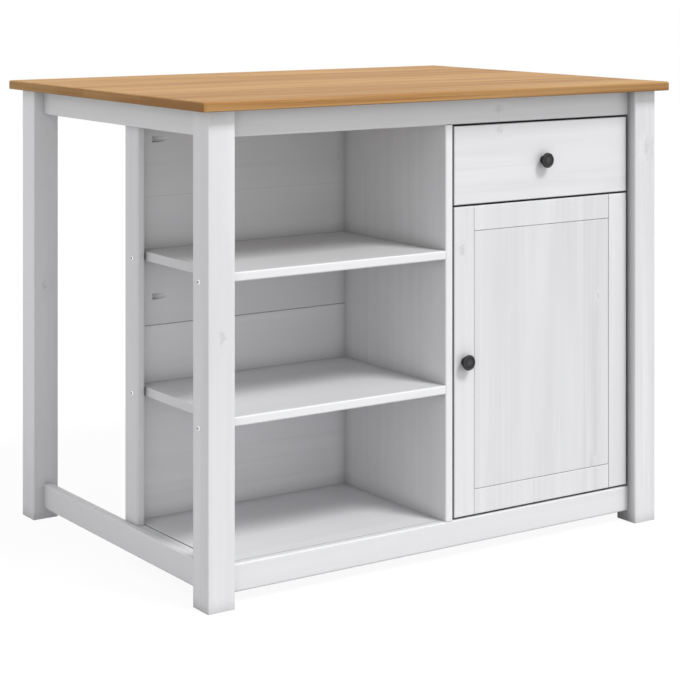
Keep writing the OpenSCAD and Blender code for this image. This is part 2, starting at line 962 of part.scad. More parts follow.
// Half outline of a knob, from its foot at z = 0 to its dished face
function quarter(centre, r, from) = [
    for (i = [0:5])
        centre + r * [cos(from + 18 * i), sin(from + 18 * i)]
];
knob_rim_r = knob_head_t / 2;
neck_h = knob_h - knob_head_t;
knob_outline = concat(
    [[0, 0], [knob_foot_d / 2 - 0.6, 0], [knob_foot_d / 2, 0.6], [knob_foot_d / 2, 0.2 * neck_h]],
    [[knob_foot_d / 2 - 0.8, 0.27 * neck_h], [knob_neck_d / 2 + 0.8, 0.34 * neck_h]],
    [[knob_neck_d / 2, 0.42 * neck_h], [knob_neck_d / 2, 0.7 * neck_h]],
    [[knob_neck_d / 2 + 1.5, 0.87 * neck_h]],
    quarter([knob_d / 2 - knob_rim_r, knob_h - knob_rim_r - 0.4], knob_rim_r, -90),
    quarter([knob_d / 2 - knob_rim_r, knob_h - knob_rim_r - 0.4], knob_rim_r, 0),
    [[knob_d / 2 - knob_rim_r - 1, knob_h - 0.4], [knob_d / 2 - knob_rim_r - 2, knob_h - 1.2]],
    [[knob_d / 4, knob_h - 0.8], [knob_d / 8, knob_h - 0.2], [0, knob_h]]
);

module knob(spot) {
    color(dark_metal)
        translate([spot[0], front_y, spot[1]])
            along([0, -1, 0])
                difference() {
                    rotate_extrude()
                        polygon(knob_outline);
                    translate([0, 0, -1])
                        cylinder(d = knob_screw_d + 2 * fixed_clear, h = knob_screw_grip + 2);
                }
}

// Machine screw from inside a front into its knob
module knob_screw(spot) {
    head_d = 8;
    head_t = 2.4;
    color(steel)
        translate([spot[0], front_back_y, spot[1]])
            along([0, -1, 0]) {
                translate([0, 0, -head_t])
                    cylinder(d = head_d, h = head_t);
                cylinder(d = knob_screw_d, h = front_t + knob_screw_grip);
            }
}

module drawer_knob() {
    knob(drawer_knob_spot);
}

module drawer_knob_screw() {
    knob_screw(drawer_knob_spot);
}

module door_knob() {
    knob(door_knob_spot);
}

module door_knob_screw() {
    knob_screw(door_knob_spot);
}

// ------------------------------------------------------------------ door

panel_x0 = front_x0 + stile_w;
panel_x1 = front_x1 - stile_w;
panel_z0 = door_z0 + stile_w;
panel_z1 = door_z1 - stile_w;
tongue_y0 = front_y + (front_t - tongue_t) / 2;
tongue_y1 = tongue_y0 + tongue_t;

module tongue_slot() {
    g = groove_clear;
    block(
        [panel_x0 - tongue_l, tongue_y0 - g, panel_z0 - tongue_l],
        [panel_x1 + tongue_l, tongue_y1 + g, panel_z1 + tongue_l]
    );
}

// Stile between x0 and x1. radii are those of its left and right front edges
module stile(x0, x1, radii) {
    lo = [x0, front_y, door_z0];
    hi = [x1, front_back_y, door_z1];
    color(paint)
        difference() {
            drilled(lo, hi, door_dowel_spots, small_dowel_d, small_dowel_l)
                intersection() {
                    board_z(lo, hi, [radii[0], radii[1], 0, 0]);
                    board_x(lo, hi, [front_r, 0, 0, front_r]);
                }
            tongue_slot();
            children();
        }
}

module door_stile_left() {
    stile(front_x0, panel_x0, [front_r, panel_r]) {
        knob_screw_hole(door_knob_spot);
        draw_screw_holes(door_screws_list, wood_screw_d);
    }
}

module door_stile_right() {
    stile(panel_x1, front_x1, [panel_r, front_r]) {
        hinge_bores();
        draw_screw_holes(door_screws_list, wood_screw_d);
    }
}

module hinge_bores() {
    for (z = hinge_zs)
        translate([hinge_x, cup_floor_y, z])
            along([0, 1, 0])
                cylinder(d = cup_d + 2 * fixed_clear, h = cup_depth + 1);
}

// Door rail between z0 and z1. radii are those of its lower and upper front edges
module door_rail(z0, z1, radii) {
    lo = [panel_x0, front_y, z0];
    hi = [panel_x1, front_back_y, z1];
    color(paint)
        difference() {
            drilled(lo, hi, door_dowel_spots, small_dowel_d, small_dowel_l)
                board_x(lo, hi, [radii[0], 0, 0, radii[1]]);
            tongue_slot();
        }
}

module door_rail_top() {
    door_rail(panel_z1, door_z1, [panel_r, front_r]);
}

module door_rail_bottom() {
    door_rail(door_z0, panel_z0, [front_r, panel_r]);
}

module door_panel() {
    g = panel_gap;
    t = tongue_l - groove_clear;
    color(paint)
        difference() {
            union() {
                rounded_front(
                    [panel_x0 + g, front_y + panel_setback, panel_z0 + g],
                    [panel_x1 - g, tongue_y1, panel_z1 - g],
                    panel_r
                );
                block(
                    [panel_x0 - t, tongue_y0, panel_z0 - t],
                    [panel_x1 + t, tongue_y1, panel_z1 + t]
                );
            }
            hinge_bores();
        }
}

module door_dowels() {
    color(beech)
        dowels(door_dowel_spots, small_dowel_d, small_dowel_l);
}

// ---------------------------------------------------------------- hinges

module hinge_cup(z) {
    inner_d = cup_d - 2 * cup_wall;
    ring_d = cup_d + 3;
    color(steel)
        difference() {
            translate([hinge_x, cup_floor_y, z])
                along([0, 1, 0])
                    difference() {
                        union() {
                            cylinder(d = cup_d, h = cup_depth);
                            translate([0, 0, cup_depth])
                                cylinder(d = ring_d, h = flange_t);
                            translate([-flange_w / 2, -flange_l / 2, cup_depth])
                                cube([flange_w, flange_l, flange_t]);
                        }
                        translate([0, 0, cup_wall])
                            cylinder(d = inner_d, h = cup_depth + flange_t);
                        translate([0, 0, hinge_y - cup_floor_y])
                            rotate([90, 0, 0])
                                cylinder(d = hinge_pin_d + 2 * fixed_clear, h = cup_d + 2, center = true);
                    }
            draw_screw_holes(door_screws_list, wood_screw_d);
        }
}

module hinge_cup_upper() {
    hinge_cup(hinge_zs[1]);
}

module hinge_cup_lower() {
    hinge_cup(hinge_zs[0]);
}

module hinge_pins() {
    end_gap = 0.3;
    color(steel)
        for (z = hinge_zs)
            translate([hinge_x, hinge_y, z])
                cylinder(d = hinge_pin_d, h = cup_d - 2 * end_gap, center = true);
}

// Cranked arm: its eye turns on the pin in the cup, and it goes out of the
// cup and round the door's edge to its plate. Places are from the pin
module hinge_arm(z) {
    half = arm_t / 2;
    eye_d = hinge_pin_d + 2 * hinge_clear + 2 * eye_wall;
    foot_x1 = plate_x0 - hinge_x;
    foot_y1 = arm_reach - half + plate_l - 4;
    color(steel)
        translate([hinge_x, hinge_y, z - arm_w / 2])
            difference() {
                union() {
                    cylinder(d = eye_d, h = arm_w);
                    block([-arm_link - half, -half, 0], [0, half, arm_w]);
                    block([-arm_link - half, -half, 0], [half - arm_link, arm_reach + half, arm_w]);
                    block([-arm_link - half, arm_reach - half, 0], [foot_x1, arm_reach + half, arm_w]);
                    block([foot_x1 - arm_t, arm_reach - half, 0], [foot_x1, foot_y1, arm_w]);
                }
                translate([0, 0, -1])
                    cylinder(d = hinge_pin_d + 2 * hinge_clear, h = arm_w + 2);
            }
}

module hinge_arm_upper() {
    hinge_arm(hinge_zs[1]);
}

module hinge_arm_lower() {
    hinge_arm(hinge_zs[0]);
}

module hinge_plate(z) {
    color(steel)
        difference() {
            block([plate_x0, plate_y0, z - plate_h / 2], [leg_in_x, plate_y0 + plate_l, z + plate_h / 2]);
            draw_screw_holes(plate_screws, wood_screw_d);
        }
}

module hinge_plate_upper() {
    hinge_plate(hinge_zs[1]);
}

module hinge_plate_lower() {
    hinge_plate(hinge_zs[0]);
}

// Magnetic catch under the cross rail, and its strike on the door
module catch_housing() {
    y0 = front_back_y + strike_t + meet_gap;
    lo = [catch_x - catch_w / 2, y0, cross_rail_z0 - catch_h];
    color(dark_metal)
        difference() {
            block(lo, lo + [catch_w, catch_d, catch_h]);
            draw_screw_holes(catch_screws, wood_screw_d);
        }
}

module catch_strike() {
    lo = [catch_x - catch_w / 2 + 2, front_back_y, door_z1 - strike_h];
    hi = [catch_x + catch_w / 2 - 2, front_back_y + strike_t, door_z1 - 1];
    color(steel)
        difference() {
            block(lo, hi);
            draw_screw_holes(door_screws_list, wood_screw_d);
        }
}

module door_screws() {
    color(steel)
        draw_screws(door_screws_list, wood_screw_d);
}

// ------------------------------------------------------ sets of fasteners

module frame_dowels() {
    color(beech)
        dowels(frame_dowel_spots, dowel_d, dowel_l);
}

module shelf_screws() {
    color(steel) {
        for (s = concat(leg_screws, post_screws))
            translate(s[0])
                along(s[1])
                    shelf_screw(s[2]);
        draw_screws(partition_screws, shelf_screw_d);
    }
}

module pocket_screws() {
    color(steel)
        at_pockets() {
            along([1, 0, 0])
                cylinder(d = pocket_head_d, h = pocket_head_t);
            along([-1, 0, 0])
                cylinder(d = pocket_screw_d, h = pocket_shank_l);
        }
}

module top_brackets() {
    w = bracket_w / 2;
    color(steel)
        difference() {
            for (spot = bracket_spots)
                translate(spot[0])
                    rotate([0, 0, spot[1]]) {
                        block([0, -w, -bracket_l], [bracket_t, w, 0]);
                        block([0, -w, -bracket_t], [bracket_l, w, 0]);
                    }
            at_bracket_screws()
                screw_hole(wood_screw_d, small_screw_l);
        }
}

module wood_screws() {
    color(steel) {
        draw_screws(concat(left_runner_screws, right_runner_screws), wood_screw_d);
        draw_screws(concat(plate_screws, catch_screws), wood_screw_d);
        at_bracket_screws()
            screw(wood_screw_d, small_screw_l);
    }
}

worktop();
leg_front_left();
leg_front_right();
leg_back_left();
leg_back_right();
apron_front();
apron_back();
apron_left();
apron_right();
rail_front();
rail_left();
rail_right();
mid_post();
side_cleat();
floor_cleat_front();
floor_cleat_back();
floor_panel();
shelf_upper();
shelf_lower();
partition();
side_panel();
back_board_upper();
back_board_lower();
cross_rail();
cupboard_shelf();
shelf_pins();
runner_left();
runner_right();
drawer_front();
drawer_side_left();
drawer_side_right();
drawer_back();
drawer_bottom();
drawer_dowels();
drawer_knob();
drawer_knob_screw();
door_stile_left();
door_stile_right();
door_rail_top();
door_rail_bottom();
door_panel();
door_dowels();
door_knob();
door_knob_screw();
hinge_cup_upper();
hinge_cup_lower();
hinge_pins();
hinge_arm_upper();
hinge_arm_lower();
hinge_plate_upper();
hinge_plate_lower();
catch_housing();
catch_strike();
door_screws();
frame_dowels();
shelf_screws();
pocket_screws();
top_brackets();
wood_screws();
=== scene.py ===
import math

import bpy
from mathutils import Matrix, Vector


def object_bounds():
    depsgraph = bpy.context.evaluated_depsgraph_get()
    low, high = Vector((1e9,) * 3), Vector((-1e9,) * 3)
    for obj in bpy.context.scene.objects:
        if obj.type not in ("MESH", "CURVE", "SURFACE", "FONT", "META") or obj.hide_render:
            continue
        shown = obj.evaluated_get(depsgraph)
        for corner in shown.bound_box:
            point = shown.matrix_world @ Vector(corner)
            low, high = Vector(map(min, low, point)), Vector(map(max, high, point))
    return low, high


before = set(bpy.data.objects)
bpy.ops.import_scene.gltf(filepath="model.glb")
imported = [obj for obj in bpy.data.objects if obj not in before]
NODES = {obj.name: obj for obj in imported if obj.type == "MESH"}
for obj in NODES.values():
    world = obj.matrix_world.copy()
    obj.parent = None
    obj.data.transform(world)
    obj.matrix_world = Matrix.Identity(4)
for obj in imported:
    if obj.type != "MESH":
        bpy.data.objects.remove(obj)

CAD_BOX = [list(map(float, corner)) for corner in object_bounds()]
SCENE = bpy.context.scene
SCENE.view_settings.view_transform = "Standard"

# ------------------------------------------------------------------ camera

# The photograph's verticals are parallel, and its horizon lies above the
# picture. The camera's axis is tilted down while its picture plane stays
# upright. The parent inverse matrix holds that skewed frame.
EYE = Vector((-2.25406, -3.33928, 1.13317))
YAW = 0.5952
FOCAL_PX = 1951.54
DROP_PX = 372.15
SIZE_PX = 680.0
SENSOR_MM = 36
CLIP_NEAR = 0.1
CLIP_FAR = 50


def make_camera():
    """Camera at the photograph's view."""
    tilt = math.atan(DROP_PX / FOCAL_PX)
    right = Vector((math.cos(YAW), -math.sin(YAW), 0))
    ahead = Vector((math.sin(YAW), math.cos(YAW), 0))
    up = Vector((0, 0, 1))
    back = up * math.sin(tilt) - ahead * math.cos(tilt)
    skew = Matrix((right, up, back)).transposed().to_4x4()
    skew.translation = EYE
    data = bpy.data.cameras.new("camera")
    data.sensor_width = SENSOR_MM
    data.lens = FOCAL_PX / math.cos(tilt) / SIZE_PX * SENSOR_MM
    data.clip_start = CLIP_NEAR
    data.clip_end = CLIP_FAR
    camera = bpy.data.objects.new("camera", data)
    rig = bpy.data.objects.new("camera_rig", None)
    for thing in (camera, rig):
        SCENE.collection.objects.link(thing)
    camera.parent = rig
    camera.matrix_parent_inverse = skew
    SCENE.camera = camera


# ------------------------------------------------------------- shader nodes


class Shader:
    """Short calls that add nodes to one shader tree."""

    def __init__(self, tree):
        self.tree = tree

    def add(self, kind, links=None, **values):
        """New node: values are its own settings, links its inputs."""
        node = self.tree.nodes.new(kind)
        for key, value in values.items():
            setattr(node, key, value)
        for key, value in (links or {}).items():
            self.feed(node.inputs[key], value)
        return node

    def feed(self, socket, value):
        """Link an output into a socket, or set a constant on it."""
        if isinstance(value, bpy.types.NodeSocket):
            self.tree.links.new(value, socket)
        else:
            socket.default_value = value

    def math(self, operation, a, b=0.0, c=0.0, clamp=False):
        node = self.add("ShaderNodeMath", {0: a, 1: b, 2: c}, operation=operation)
        node.use_clamp = clamp
        return node.outputs[0]

    def vector(self, operation, a, b=(0, 0, 0), out="Vector"):
        return self.add("ShaderNodeVectorMath", {0: a, 1: b}, operation=operation).outputs[out]

    def combine(self, parts):
        return self.add("ShaderNodeCombineXYZ", parts).outputs[0]

    def split(self, vector):
        return self.add("ShaderNodeSeparateXYZ", {"Vector": vector}).outputs

    def remap(self, value, a, b, c=0.0, d=1.0):
        """Map a..b to c..d, and no further."""
        links = {"Value": value, "From Min": a, "From Max": b, "To Min": c, "To Max": d}
        return self.add("ShaderNodeMapRange", links, clamp=True).outputs[0]

    def seen_directly(self):
        """1 where the eye looks, also by a reflection or through glass, and 0 for light."""
        path = self.add("ShaderNodeLightPath").outputs
        seen = self.math("MAXIMUM", path["Is Camera Ray"], path["Is Glossy Ray"])
        return self.math("MAXIMUM", seen, path["Is Transmission Ray"])


class Finish(Shader):
    """Nodes of one material, around its Principled BSDF."""

    INPUTS = {"color": "Base Color", "rough": "Roughness", "metal": "Metallic", "spec": "Specular IOR Level"}

    def __init__(self, name):
        self.material = bpy.data.materials.new(name)
        self.material.use_nodes = True
        super().__init__(self.material.node_tree)
        self.bsdf = self.tree.nodes["Principled BSDF"]
        self.place = self.add("ShaderNodeTexCoord").outputs["Object"]

    def facing(self):
        """Parts of the direction that the surface looks in."""
        return self.split(self.add("ShaderNodeTexCoord").outputs["Normal"])

    def stretched(self, scale, shift=(0, 0, 0), source=None):
        node = self.add("ShaderNodeMapping", {"Vector": source or self.place})
        node.inputs["Scale"].default_value = scale
        node.inputs["Location"].default_value = shift
        return node.outputs[0]

    def noise(self, vector, scale=1.0, detail=3.0, rough=0.5, warp=0.0):
        links = {"Vector": vector, "Scale": scale, "Detail": detail, "Roughness": rough, "Distortion": warp}
        return self.add("ShaderNodeTexNoise", links).outputs["Fac"]

    def spread(self, noise, c=0.0, d=1.0):
        """Map the values that a noise mostly has to c..d."""
        return self.remap(noise, NOISE_LOW, NOISE_HIGH, c, d)

    def mix(self, share, a, b):
        """Colour from a at share 0 to b at share 1."""
        node = self.add("ShaderNodeMix", data_type="RGBA")
        self.feed(node.inputs["Factor"], share)
        for socket, value in ((node.inputs[6], a), (node.inputs[7], b)):
            self.feed(socket, (*value, 1) if isinstance(value, tuple) else value)
        return node.outputs[2]

    def darken(self, color, share):
        return self.mix(share, color, BLACK)

    def bump(self, height, distance, strength=1.0):
        node = self.add("ShaderNodeBump", {"Height": height, "Distance": distance, "Strength": strength})
        self.feed(self.bsdf.inputs["Normal"], node.outputs[0])

    def set(self, **values):
        for key, value in values.items():
            self.feed(self.bsdf.inputs[self.INPUTS[key]], (*value, 1) if isinstance(value, tuple) else value)


# --------------------------------------------------------------- materials

NOISE_LOW = 0.3
NOISE_HIGH = 0.7

BLACK = (0.0, 0.0, 0.0)
PAINT_LIGHT = (0.775, 0.775, 0.795)
PAINT_DARK = (0.60, 0.60, 0.613)
# Paler paint on smooth front edges: a painted highlight
PAINT_EDGE_HIGHLIGHT = (0.765, 0.765, 0.78)
HONEY_DARK = (0.345, 0.168, 0.056)
HONEY_LIGHT = (0.575, 0.345, 0.145)
HONEY_BELOW = (0.50, 0.44, 0.37)
BEECH_DARK = (0.50, 0.33, 0.18)
BEECH_LIGHT = (0.70, 0.52, 0.33)
KNOB_DARK = (0.044, 0.044, 0.046)
KNOB_LIGHT = (0.064, 0.064, 0.068)
# Painted shade on the knobs' sides and feet
KNOB_SIDE_SHADE = (0.010, 0.010, 0.011)
ZINC_DARK = (0.55, 0.56, 0.58)
ZINC_LIGHT = (0.68, 0.69, 0.70)
SCREW_DARK = (0.84, 0.84, 0.83)
SCREW_LIGHT = (0.92, 0.92, 0.91)
# Painted shade in the screws' sockets
SOCKET_SHADE = (0.02, 0.02, 0.02)
PLASTIC_DARK = (0.035, 0.035, 0.037)
PLASTIC_LIGHT = (0.055, 0.055, 0.058)

# Painted shade in inner corners and joints: its largest share, and how far it reaches
CORNER_SHADE = 0.45
CORNER_SHADE_REACH = 0.03
CORNER_SHADE_RAYS = 6

# Patterns in the pine: scale along the grain and across it, detail, roughness, warp
CLOUD = (0.8, 9, 3, 0.5, 0.5)
RINGS = (0.9, 42, 3, 0.6, 0.5)
STREAKS = (2.2, 130, 3, 0.6, 0.2)
FIBRES = (7, 520, 2, 0.6, 0.0)
PATCHES = (1.6, 8, 2, 0.5, 0.3)
# Shift of the patterns from one board to the next
SEED_SHIFT = (1.37, 2.11, 0.73)
# How far the grain bends round a knot, and the scale that makes a knot longer along it
KNOT_PUSH = 0.011
KNOT_STRETCH = 0.6
GLUE_LINE_HALF = 0.0006
# Behind the boards' front edges, from smooth paint with a painted highlight to paint over grain
EDGE_HIGHLIGHT_Y = -0.3585
HIGHLIGHT_FADE_Y = -0.3555

# The worktop's glued boards, and where painted shade on the front edge grows towards the right
TOP_BACK_Y = CAD_BOX[1][1]
TOP_BOARD_W = 0.1154
DARKER_FROM_X = -0.15
DARKER_TO_X = 0.25
# Patterns in the worktop: scales along X, Y and Z, detail, roughness, warp
TOP_BROAD = ((0.8, 14, 14), 3, 0.5, 0.8)
TOP_RINGS = ((1.3, 55, 90), 3, 0.55, 0.5)
TOP_STREAKS = ((2.5, 170, 260), 3, 0.6, 0.2)
TOP_PORES = ((9, 480, 480), 2, 0.6, 0.0)
# Shift of the patterns from one glued board to the next
TOP_SLIDE = {"X": 3.7, "Y": 0.61}
# Largest shares of painted shade on the ends, the front edge and the lower edges
END_SHADE = 0.14
FRONT_SHADE = 0.18
UNDER_SHADE = 0.4

# Depths of a knob's rim, where its face ends and painted shade on its side starts
KNOB_FACE_Y = -0.3769
KNOB_SHADE_Y = -0.3758
# Radius of the painted shade for the socket in a shelf screw's head, and of its soft rim
SOCKET_R = 0.0019
SOCKET_RIM_R = 0.0022


def along(axis, long, cross):
    """Scale of a pattern that is long along one axis and fine across it."""
    return tuple(long if i == axis else cross for i in range(3))


def pine_noise(m, pattern, axis, shift, place):
    """One of the pine's patterns, with its grain along the axis."""
    long, cross, detail, rough, warp = pattern
    return m.noise(m.stretched(along(axis, long, cross), shift, place), 1, detail, rough, warp)


def corner_shade(m):
    """Share of painted shade in inner corners and joints, from an occlusion node."""
    links = {"Distance": CORNER_SHADE_REACH}
    open_share = m.add("ShaderNodeAmbientOcclusion", links, samples=CORNER_SHADE_RAYS).outputs["AO"]
    return m.remap(open_share, 0.1, 0.9, CORNER_SHADE, 0)


def knot_masks(m, axis, knots):
    """Two masks around each knot: near, where the grain bends, and core."""
    near, core = 0.0, 0.0
    ragged = m.spread(m.noise(m.place, 150, 2, 0.6), -0.75, 0.75)
    for place, radius in knots:
        scale = along(axis, KNOT_STRETCH / radius, 1 / radius)
        scaled = m.vector("MULTIPLY", m.vector("SUBTRACT", m.place, place), scale)
        away = m.math("ADD", m.vector("LENGTH", scaled, out="Value"), ragged)
        near = m.math("MAXIMUM", near, m.remap(away, 0.6, 4.0, 1, 0))
        core = m.math("MAXIMUM", core, m.remap(away, 0.2, 1.2, 1, 0))
    return near, core


def pine_grain(m, axis, seed, knots):
    """Share of light wood before grain and tone are set, bump height, streaks, knots' cores."""
    shift = tuple(seed * step for step in SEED_SHIFT)
    bent = m.place
    core = 0.0
    if knots:
        near, core = knot_masks(m, axis, knots)
        push = m.combine({i: m.math("MULTIPLY", near, KNOT_PUSH) for i in range(3) if i != axis})
        bent = m.vector("ADD", m.place, push)
    cloud, rings, streaks, fibres = (
        pine_noise(m, pattern, axis, shift, bent) for pattern in (CLOUD, RINGS, STREAKS, FIBRES))
    patch = m.remap(pine_noise(m, PATCHES, axis, shift, m.place), 0.38, 0.62, 0.15, 1)
    fine = m.math("ADD", m.remap(rings, 0.32, 0.68, -0.24, 0.24), m.spread(streaks, -0.16, 0.16))
    light = m.math("MULTIPLY_ADD", fine, patch, m.remap(cloud, 0.32, 0.68, -0.22, 0.22))
    height = m.math("ADD", m.math("MULTIPLY", fibres, 0.3), m.math("MULTIPLY", streaks, 0.6))
    height = m.math("ADD", height, m.math("MULTIPLY", rings, 0.7))
    return light, height, streaks, core


def painted_wood(name, axis, seed, grain, tone, knots, highlit_edge, glue_lines, shaded_sides, shaded_spots):
    """White satin paint over brushed pine: its grain and its knots show.

    grain is how strongly it shows, tone how light the board is, and
    highlit_edge marks a board whose front edge is smooth and has a painted highlight.
    shaded_sides is (axis, share): the faces that don't look along that axis
    get painted shade. shaded_spots is a share and then limits, each as
    (axis, none, full), inside which painted shade darkens the paint.
    """
    m = Finish(name)
    place = m.split(m.place)
    light, height, streaks, core = pine_grain(m, axis, seed, knots)
    light = m.math("MULTIPLY_ADD", light, grain, tone)
    if knots:
        dent = m.math("MULTIPLY", core, 0.8)
        light = m.math("SUBTRACT", light, dent)
        height = m.math("SUBTRACT", height, dent)
    for z in glue_lines:
        line = m.math("COMPARE", place["Z"], z, GLUE_LINE_HALF)
        light = m.math("SUBTRACT", light, m.math("MULTIPLY", line, 0.5))
        height = m.math("SUBTRACT", height, line)
    color = m.mix(m.math("MAXIMUM", m.math("MINIMUM", light, 1.0), 0.0), PAINT_DARK, PAINT_LIGHT)
    if highlit_edge:
        # Painted highlight on the front edge
        color = m.mix(m.remap(place["Y"], EDGE_HIGHLIGHT_Y, HIGHLIGHT_FADE_Y, 1, 0), color, PAINT_EDGE_HIGHLIGHT)
    # Painted shade on the faces that don't look along one axis
    if shaded_sides:
        unshaded_axis, share = shaded_sides
        aside = m.remap(m.math("ABSOLUTE", m.facing()[unshaded_axis]), 0.2, 0.5, share, 0)
        color = m.darken(color, aside)
    # Painted shade in the listed spots
    if shaded_spots:
        share, *limits = shaded_spots
        for side, none, full in limits:
            share = m.math("MULTIPLY", share, m.remap(place[side], none, full))
        color = m.darken(color, share)
    # Painted shade in inner corners and joints darkens the paint
    m.set(color=m.darken(color, corner_shade(m)), rough=m.spread(streaks, 0.42, 0.55), spec=0.4)
    m.bump(height, 0.0006, 0.5 * grain)
    return m.material


def worktop_shade(m, place, facing, at_end):
    """Share of painted shade on the worktop: its ends, the front edge's right part, its lower edges."""
    at_front = m.remap(facing["Y"], -0.6, -0.8)
    at_right = m.math("MULTIPLY", at_front, m.remap(place["X"], DARKER_FROM_X, DARKER_TO_X, 0, FRONT_SHADE))
    shade = m.math("MAXIMUM", at_right, m.math("MULTIPLY", at_end, END_SHADE))
    return m.math("MAXIMUM", shade, m.remap(facing["Z"], -0.1, -0.6, 0, UNDER_SHADE))


def worktop_grain(m, place, at_end, board):
    """Patterns of the grain, which each board has at its own place and the ends show turned."""
    slide = m.combine({side: m.math("MULTIPLY", board, step) for side, step in TOP_SLIDE.items()})
    turned = m.combine({"X": place["Y"], "Y": place["X"], "Z": place["Z"]})
    source = m.mix(at_end, m.vector("ADD", m.place, slide), turned)
    return [m.noise(m.stretched(scale, source=source), 1, *texture)
            for scale, *texture in (TOP_BROAD, TOP_RINGS, TOP_STREAKS, TOP_PORES)]


def oiled_wood(name):
    """Boards glued side by side along X, oiled honey brown, with a bare underside."""
    m = Finish(name)
    place = m.split(m.place)
    facing = m.facing()
    at_end = m.remap(m.math("ABSOLUTE", facing["X"]), 0.6, 0.8)
    board = m.math("FLOOR", m.math("DIVIDE", m.math("ADD", place["Y"], TOP_BACK_Y), TOP_BOARD_W))
    pick = m.add("ShaderNodeTexWhiteNoise", {"W": board}, noise_dimensions="1D").outputs["Value"]
    broad, rings, streaks, pores = worktop_grain(m, place, at_end, board)
    light = m.math("ADD", m.remap(pick, 0, 1, 0.40, 0.62), m.spread(broad, -0.3, 0.3))
    light = m.math("ADD", light, m.spread(rings, -0.32, 0.32))
    light = m.math("ADD", light, m.spread(streaks, -0.2, 0.2))
    light = m.math("SUBTRACT", light, m.remap(pores, 0.52, 0.75, 0, 0.16))
    light = m.math("SUBTRACT", light, m.math("MULTIPLY", at_end, 0.25), clamp=True)
    # Painted shade on the worktop's ends, front edge and lower edges
    color = m.darken(m.mix(light, HONEY_DARK, HONEY_LIGHT), worktop_shade(m, place, facing, at_end))
    color = m.mix(m.remap(facing["Z"], -0.93, -0.99), color, HONEY_BELOW)
    m.set(color=color, rough=m.spread(pores, 0.52, 0.66), spec=0.12)
    m.bump(m.math("ADD", m.math("MULTIPLY", pores, 0.5), m.math("MULTIPLY", rings, 0.5)), 0.0003, 0.4)
    return m.material


def plain_wood(name, axis):
    """Unpainted pale hardwood with short flecks."""
    m = Finish(name)
    broad = m.noise(m.stretched(along(axis, 1.1, 22)), 1, 3, 0.5, 0.5)
    flecks = m.noise(m.stretched(along(axis, 40, 520)), 1, 2, 0.6)
    light = m.math("ADD", m.spread(broad, 0.25, 0.75), m.remap(flecks, 0.5, 0.7, 0, -0.2), clamp=True)
    m.set(color=m.mix(light, BEECH_DARK, BEECH_LIGHT), rough=m.spread(flecks, 0.48, 0.62), spec=0.35)
    m.bump(flecks, 0.0003, 0.4)
    return m.material


def dark_metal(name):
    """Dark cast metal of the knobs, with painted shade on their sides and feet."""
    m = Finish(name)
    speckle = m.noise(m.place, 900, 3, 0.6)
    cloud = m.noise(m.place, 60, 2, 0.5)
    color = m.mix(m.spread(cloud), KNOB_DARK, KNOB_LIGHT)
    # Painted shade on the knob's sides and feet
    side = m.remap(m.split(m.place)["Y"], KNOB_FACE_Y, KNOB_SHADE_Y)
    color = m.mix(side, color, KNOB_SIDE_SHADE)
    m.set(color=color, rough=m.spread(speckle, 0.5, 0.62), metal=0.2, spec=0.4)
    m.bump(speckle, 0.0001, 0.5)
    return m.material


def zinc_steel(name):
    """Brushed steel of the hinges, pins, brackets and most screws."""
    m = Finish(name)
    brush = m.noise(m.stretched((60, 60, 1400)), 1, 2, 0.5)
    cloud = m.noise(m.place, 45, 2, 0.5)
    color = m.mix(m.spread(cloud), ZINC_DARK, ZINC_LIGHT)
    m.set(color=color, rough=m.spread(brush, 0.26, 0.42), metal=1.0)
    m.bump(brush, 0.00005, 0.4)
    return m.material


def screw_steel(name, sockets):
    """Bright round heads, each with painted shade for a socket at its (y, z)."""
    m = Finish(name)
    cloud = m.noise(m.place, 300, 2, 0.5)
    flat = m.vector("MULTIPLY", m.place, (0, 1, 1))
    # Painted shade where the sockets are
    socket_shade = 0.0
    for y, z in sockets:
        away = m.vector("DISTANCE", flat, (0, y, z), out="Value")
        socket_shade = m.math("MAXIMUM", socket_shade, m.remap(away, SOCKET_R, SOCKET_RIM_R, 1, 0))
    bright = m.mix(m.spread(cloud), SCREW_DARK, SCREW_LIGHT)
    m.set(color=m.mix(socket_shade, bright, SOCKET_SHADE), rough=m.spread(cloud, 0.18, 0.3), metal=1.0)
    m.bump(cloud, 0.00003, 0.3)
    return m.material


def dark_plastic(name):
    """Matt dark plastic of the catch."""
    m = Finish(name)
    grain = m.noise(m.place, 1500, 2, 0.5)
    color = m.mix(m.spread(grain), PLASTIC_DARK, PLASTIC_LIGHT)
    m.set(color=color, rough=m.spread(grain, 0.5, 0.62), spec=0.4)
    m.bump(grain, 0.00008, 0.5)
    return m.material


# ------------------------------------------------------------------- pieces

X, Y, Z = range(3)

